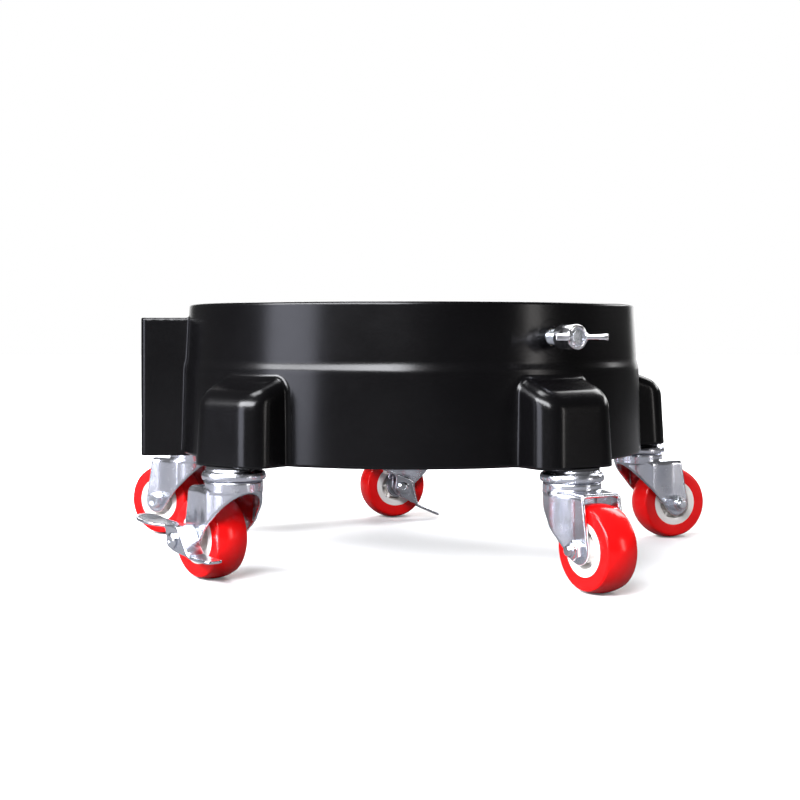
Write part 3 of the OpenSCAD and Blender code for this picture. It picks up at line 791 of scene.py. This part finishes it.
head_mesh = net_mesh("bolt_head", head_field, [steps((LEG_HALF - 0.8, 0.35), (LEG_HALF + 4.9, 1)),
                                               steps((-6.6, 0.4), (6.6, 1)), steps((-6.6, 0.4), (6.6, 1))])
shank_profile = rounded([(-LEG_HALF - 5.6, 0.01, 0), (-LEG_HALF - 5.6, 2.9, 0.1), (LEG_HALF + 1.0, 2.9, 0.1),
                         (LEG_HALF + 1.0, 0.01, 0)], 0.1)
tail_mesh = thread_mesh("bolt_tail", -LEG_HALF - 8.0, -LEG_HALF + 0.4, AXLE_R, 1.0, 0.45, chamfer=0.6)
plain_bolt = merged("hex_bolt", lathe("bolt_shank", shank_profile, 40, False), tail_mesh, head_mesh)

LEVER_START, TAB_W, LEVER_T = LEG_HALF + 2.1, 11.0, 1.8
LEVER_END = LEVER_START + TAB_W
rivet_x = LEVER_END + 0.1
rivet_profile = rounded([(rivet_x, 0.01, 0), (rivet_x, 4.7, 0.3), (rivet_x + 1.0, 4.6, 0.6),
                         (rivet_x + 1.8, 3.2, 0.8), (rivet_x + 2.0, 1.3, 0.3), (rivet_x + 1.6, 1.0, 0.2),
                         (rivet_x + 1.6, 0.01, 0)], 0.2)
long_shank = rounded([(-LEG_HALF - 5.6, 0.01, 0), (-LEG_HALF - 5.6, 2.9, 0.1), (rivet_x + 0.3, 2.9, 0.1),
                      (rivet_x + 0.3, 0.01, 0)], 0.1)
rivet_bolt = merged("rivet_bolt", lathe("long_shank", long_shank, 40, False), tail_mesh,
                    lathe("rivet_head", rivet_profile, 48, False))

for c in CASTERS:
    here = caster_frame(c, False)
    axle = caster_frame(c, True)
    body = "caster_" + c
    link("fork_sheet_" + c, fork_mesh, MATERIALS["zinc_plate"], body, ["fork_" + c], here)
    link("bearing_cap_" + c, cap_mesh, MATERIALS["zinc_plate"], "ring", ["race_cap_" + c],
         here @ X_TO_Z)
    bolt = rivet_bolt if c in BRAKES else plain_bolt
    link("bolt_" + c, bolt, MATERIALS["fastener_steel"], body, ["axle_bolt_" + c], axle)
    link("nut_" + c, nut_mesh, MATERIALS["fastener_steel"], body, ["axle_nut_" + c], axle)
    link("wheel_hub_" + c, hub_mesh, MATERIALS["white_hub"], "wheel_" + c, ["hub_" + c], axle)
    link("wheel_tyre_" + c, tyre_mesh, MATERIALS["red_tyre"], "wheel_" + c, ["tyre_" + c], axle)


# ---------------------------------------------------------------- brake levers

LONG, SHORT, RISE, DROP, LEAF_W = 38.0, WHEEL_R * 1.48, 7.4, WHEEL_R * 0.28, 16.0
LEVER_PATH = [(-LONG, RISE + 1.0), (-26.0, RISE - 0.5), (-9.0, RISE - 0.4), (-2.0, RISE + 0.4),
              (5.0, RISE - 0.5), (12.0, -DROP * 0.23), (15.5, -DROP * 0.8), (19.5, -DROP),
              (SHORT, -DROP + 0.6)]
WEB = LEVER_PATH[2:8] + [(6.0, -6.6), (0.0, -5.8), (-5.0, -3.0)]


def smooth_path(knots, per):
    """A round curve through the knots."""
    k = [np.array(p, float) for p in knots]
    k = [2 * k[0] - k[1]] + k + [2 * k[-1] - k[-2]]
    out = []
    for i in range(1, len(k) - 2):
        for j in range(per):
            t = j / per
            out.append(0.5 * ((2 * k[i]) + (k[i + 1] - k[i - 1]) * t
                              + (2 * k[i - 1] - 5 * k[i] + 4 * k[i + 1] - k[i + 2]) * t ** 2
                              + (3 * k[i] - k[i - 1] - 3 * k[i + 1] + k[i + 2]) * t ** 3))
    return out + [k[-2]]


LEVER_CURVE = smooth_path(LEVER_PATH, 5)


def leaf_plan():
    """Outline of the lever seen from above: a wide leaf at the long end, a plain tab at the short end."""
    mid = LEVER_START + LEAF_W / 2
    end = [(mid + LEAF_W / 2 * math.cos(math.pi + math.pi * i / 16),
            -LONG + LEAF_W / 2 + LEAF_W / 2 * math.sin(math.pi + math.pi * i / 16)) for i in range(17)]
    side = smooth_path([(LEVER_START + LEAF_W, -25.0), (LEVER_START + LEAF_W - 1.0, -18.0),
                        (LEVER_END + 0.6, -9.0), (LEVER_END, -5.0)], 4)
    return end + [tuple(p) for p in side] + [(LEVER_END, SHORT - 3.0), (LEVER_END - 0.9, SHORT - 0.9),
                                             (LEVER_END - 3.0, SHORT), (LEVER_START + 3.0, SHORT),
                                             (LEVER_START + 0.9, SHORT - 0.9), (LEVER_START, SHORT - 3.0)]


LEVER_PLAN = leaf_plan()


def lever_field(x, y, z):
    flat = y + 0 * z
    near = np.full(np.shape(flat), 1e9)
    for (ay, az), (by, bz) in zip(LEVER_CURVE[:-1], LEVER_CURVE[1:]):
        ey, ez = by - ay, bz - az
        t = np.clip(((y - ay) * ey + (z - az) * ez) / (ey * ey + ez * ez), 0, 1)
        near = np.minimum(near, np.hypot(y - ay - t * ey, z - az - t * ez))
    sheet = rmax(near - LEVER_T / 2, polygon_field(x, y, LEVER_PLAN), 0.55)
    side = polygon_field(y, z, WEB)
    outer = rmax(side, capsule_ends(x, LEVER_END - LEVER_T, LEVER_END), 0.4)
    inner = rmax(side, capsule_ends(x, LEVER_START, LEVER_START + LEVER_T), 0.4)
    body = rmin(rmin(sheet, outer, 0.9), inner, 0.9)
    return rmax(body, -(np.hypot(y, z) - AXLE_R - 0.05), 0.3)


lever_axes = [steps((LEVER_START - 1, 0.45), (LEVER_START + LEAF_W + 1, 1)),
              steps((-LONG - 1.2, 0.6), (SHORT + 1.2, 1)),
              steps((-11.5, 0.45), (10.2, 1))]
lever_mesh = net_mesh("lever_stamping", lever_field, lever_axes)

# tilt of the long end in degrees: the front left lever is built locked and the rear one released
TILT_LOCKED, TILT_OPEN = 4.0, 26.0
for b in BRAKES:
    low, high = JOINTS["brake_" + b]["range_deg"]
    tilt = TILT_OPEN + low if b == "front_left" else TILT_LOCKED + high
    lean = Matrix.Rotation(math.radians(-tilt), 4, "X")
    link("rocker_" + b, lever_mesh, MATERIALS["lever_steel"], "brake_" + b,
         ["brake_lever_" + b], caster_frame(b, True) @ lean)


# ---------------------------------------------------------------- wing screws

WING_SWEEP, WING_W, WING_T, WING_LEN = math.radians(50), 7.5, 3.8, 22.0
NUT_START = BAND_R + 6.8
NUT_LEN = 15.0
MID = NUT_START + NUT_LEN / 2


def wing_field(x, y, z):
    """Along Z outwards, wings in the XZ plane."""
    r = np.hypot(x, y)
    taper = 0.03 * (NUT_START + NUT_LEN - z)
    body = rmax(r - 7.4 + taper, capsule_ends(z, NUT_START, NUT_START + NUT_LEN), 1.3)
    for side in (-1, 1):
        along = (x * side) * math.sin(WING_SWEEP) + (z - MID) * math.cos(WING_SWEEP)
        across = (x * side) * math.cos(WING_SWEEP) - (z - MID) * math.sin(WING_SWEEP)
        flare = 0.55 * np.clip((along - 14.0) / 8.0, 0, 1) ** 2
        root = 0.9 * np.clip((11.0 - along) / 6.0, 0, 1)
        wide = WING_W / 2 + flare * 0.6
        thick = WING_T / 2 - 0.35 + flare + root
        blade = rmax(np.abs(across) - wide, np.abs(y) - thick, 0.9)
        blade = rmax(blade, capsule_ends(along, 0.0, WING_LEN), 0.7)
        body = rmin(body, blade, 1.8)
    return rmax(body, -(r - 4.95), 0.5)


wing_axes = [steps((-21.5, 0.6), (21.5, 1)), steps((-8.4, 0.55), (8.4, 1)),
             steps((NUT_START - 1, 0.6), (MID + 18.5, 1))]
wing_mesh = net_mesh("wing_casting", wing_field, wing_axes)
ROD_START = BORE_R + 0.4 + 2.6 + 0.1
rod_mesh = thread_mesh("rod_thread", ROD_START, NUT_START + NUT_LEN - 0.1, 4.98, 1.5, 0.85, chamfer=0.35)

for s in SCREWS:
    n = Vector(SCREW_OUT[s]).normalized()
    up = Vector((0, 0, 1))
    u = up.cross(n)
    m = Matrix((u, up, n)).transposed().to_4x4()
    m.translation = Vector((0, 0, SCREW_Z * MM))
    link("wing_" + s, wing_mesh, MATERIALS["cast_zinc"], "wing_screw_" + s, ["wing_nut_" + s], m)
    link("threaded_rod_" + s, rod_mesh, MATERIALS["fastener_steel"], "wing_screw_" + s,
         ["screw_rod_" + s], m @ X_TO_Z)


# ---------------------------------------------------------------- carried-over CAD nodes

SLOT_OF = {p["node"]: p["material_slot"] for p in RECORD["subparts"]}
for name, obj in NODES.items():
    if obj.hide_render:
        continue
    obj.data.materials.clear()
    obj.data.materials.append(MATERIALS[SLOT_OF[name]])
    obj.data.shade_smooth()
    bevel = obj.modifiers.new("edge", "BEVEL")
    bevel.width = 0.00025
    bevel.segments = 2
    bevel.limit_method = "ANGLE"
    bevel.angle_limit = math.radians(40)
    bevel.harden_normals = True


# ---------------------------------------------------------------- floor, light, camera

def floor():
    count, radius = 96, 7.0
    pts = [(0, 0, FLOOR_Z)]
    around = [2 * math.pi * i / count for i in range(count)]
    for r in (0.4, 1.0, 2.5, radius):
        pts += [(r / MM * math.cos(t), r / MM * math.sin(t), FLOOR_Z) for t in around]
    faces = [(0, 1 + i, 1 + (i + 1) % count) for i in range(count)]
    for k in range(3):
        a, b = 1 + k * count, 1 + (k + 1) * count
        faces += [(a + i, b + i, b + (i + 1) % count, a + (i + 1) % count) for i in range(count)]
    obj = bpy.data.objects.new("studio_floor", mesh_of("studio_floor", pts, faces))
    bpy.context.scene.collection.objects.link(obj)
    m = Nodes("studio_floor")
    m.set(Specular_IOR_Level=0.1, Emission_Color=(1, 1, 1, 1))
    away = m.add("ShaderNodeVectorMath", operation="LENGTH")
    m.tree.links.new(m.place, away.inputs[0])
    m.to("Emission Strength", m.span(away.outputs["Value"], 0.3, 0.9, 0.10, 1.0))
    m.to("Base Color", m.ramp(m.noise(3, 3), (0.3, (0.86, 0.86, 0.86)), (0.7, (0.89, 0.89, 0.89))))
    m.to("Roughness", m.span(m.noise(8, 3), 0.3, 0.7, 0.62, 0.72))
    dim = m.add("ShaderNodeBsdfDiffuse")
    dim.inputs["Color"].default_value = (0.14, 0.14, 0.145, 1)
    path = m.add("ShaderNodeLightPath")
    mix = m.add("ShaderNodeMixShader")
    m.tree.links.new(path.outputs["Is Camera Ray"], mix.inputs["Fac"])
    m.tree.links.new(dim.outputs["BSDF"], mix.inputs[1])
    m.tree.links.new(m.bsdf.outputs["BSDF"], mix.inputs[2])
    m.tree.links.new(mix.outputs["Shader"], m.tree.nodes["Material Output"].inputs["Surface"])
    obj.data.materials.append(m.mat)


floor()

world = bpy.data.worlds.new("studio")
bpy.context.scene.world = world
world.use_nodes = True
tree = world.node_tree
tree.nodes.clear()
out = tree.nodes.new("ShaderNodeOutputWorld")
seen = tree.nodes.new("ShaderNodeBackground")
seen.inputs["Color"].default_value = (1, 1, 1, 1)
seen.inputs["Strength"].default_value = 1.0
lit = tree.nodes.new("ShaderNodeBackground")
lit.inputs["Strength"].default_value = 1.0
place = tree.nodes.new("ShaderNodeTexCoord")
split = tree.nodes.new("ShaderNodeSeparateXYZ")
tree.links.new(place.outputs["Generated"], split.inputs["Vector"])
shade = tree.nodes.new("ShaderNodeMapRange")
shade.interpolation_type = "SMOOTHSTEP"
for key, value in (("From Min", 0.86), ("From Max", 0.95), ("To Min", 0.11), ("To Max", 2.6)):
    shade.inputs[key].default_value = value
tree.links.new(split.outputs["Y"], shade.inputs["Value"])
tree.links.new(shade.outputs["Result"], lit.inputs["Strength"])
path = tree.nodes.new("ShaderNodeLightPath")
mix = tree.nodes.new("ShaderNodeMixShader")
tree.links.new(path.outputs["Is Camera Ray"], mix.inputs["Fac"])
tree.links.new(lit.outputs["Background"], mix.inputs[1])
tree.links.new(seen.outputs["Background"], mix.inputs[2])
tree.links.new(mix.outputs["Shader"], out.inputs["Surface"])


def softbox(name, az, elevation, distance, width, height, power, colour=(1, 1, 1)):
    a, e = math.radians(az), math.radians(elevation)
    target = Vector((0, 0, 0.0))
    back = Vector((math.sin(a) * math.cos(e), -math.cos(a) * math.cos(e), math.sin(e)))
    lamp = bpy.data.lights.new(name, "AREA")
    lamp.shape = "RECTANGLE"
    lamp.size, lamp.size_y = width, height
    lamp.energy = power
    lamp.color = colour
    obj = bpy.data.objects.new(name, lamp)
    obj.location = target + back * distance
    obj.rotation_mode = "QUATERNION"
    obj.rotation_quaternion = back.to_track_quat("Z", "Y")
    bpy.context.scene.collection.objects.link(obj)


softbox("main_left", -38, 33, 1.7, 2.3, 0.55, 118, (0.95, 0.96, 1.0))
softbox("overhead", -60, 78, 1.5, 0.6, 0.6, 16, (0.96, 0.97, 1.0))
softbox("strip_left", -56, 4, 1.6, 0.75, 0.8, 12.0, (0.84, 0.86, 1.0))
softbox("strip_right", 62, 6, 1.7, 0.20, 0.8, 3.0, (1.0, 0.97, 0.95))
softbox("back", 168, 40, 1.9, 2.2, 0.8, 34)
softbox("back_right", 130, 17, 1.8, 0.9, 0.28, 4.5)

# a level camera: lens and sensor in millimetres, place in degrees and metres, shift in frame widths
LENS_MM, SENSOR_MM = 62.172, 36.0
CAMERA_AZ, CAMERA_DIST, CAMERA_Z = 2.35, 0.928, 0.0732
SHIFT_X, SHIFT_Y = -0.0145, -0.088875
camera = bpy.data.cameras.new("camera")
camera.sensor_width = SENSOR_MM
camera.lens = LENS_MM
camera.clip_start, camera.clip_end = 0.01, 100
eye = bpy.data.objects.new("camera", camera)
bpy.context.scene.collection.objects.link(eye)
a = math.radians(CAMERA_AZ)
eye.location = (CAMERA_DIST * math.sin(a), -CAMERA_DIST * math.cos(a), CAMERA_Z)
camera.shift_x, camera.shift_y = SHIFT_X, SHIFT_Y
eye.rotation_euler = (math.pi / 2, 0, a)
bpy.context.scene.camera = eye
bpy.context.scene.view_settings.view_transform = "Standard"

bpy.context.view_layer.update()
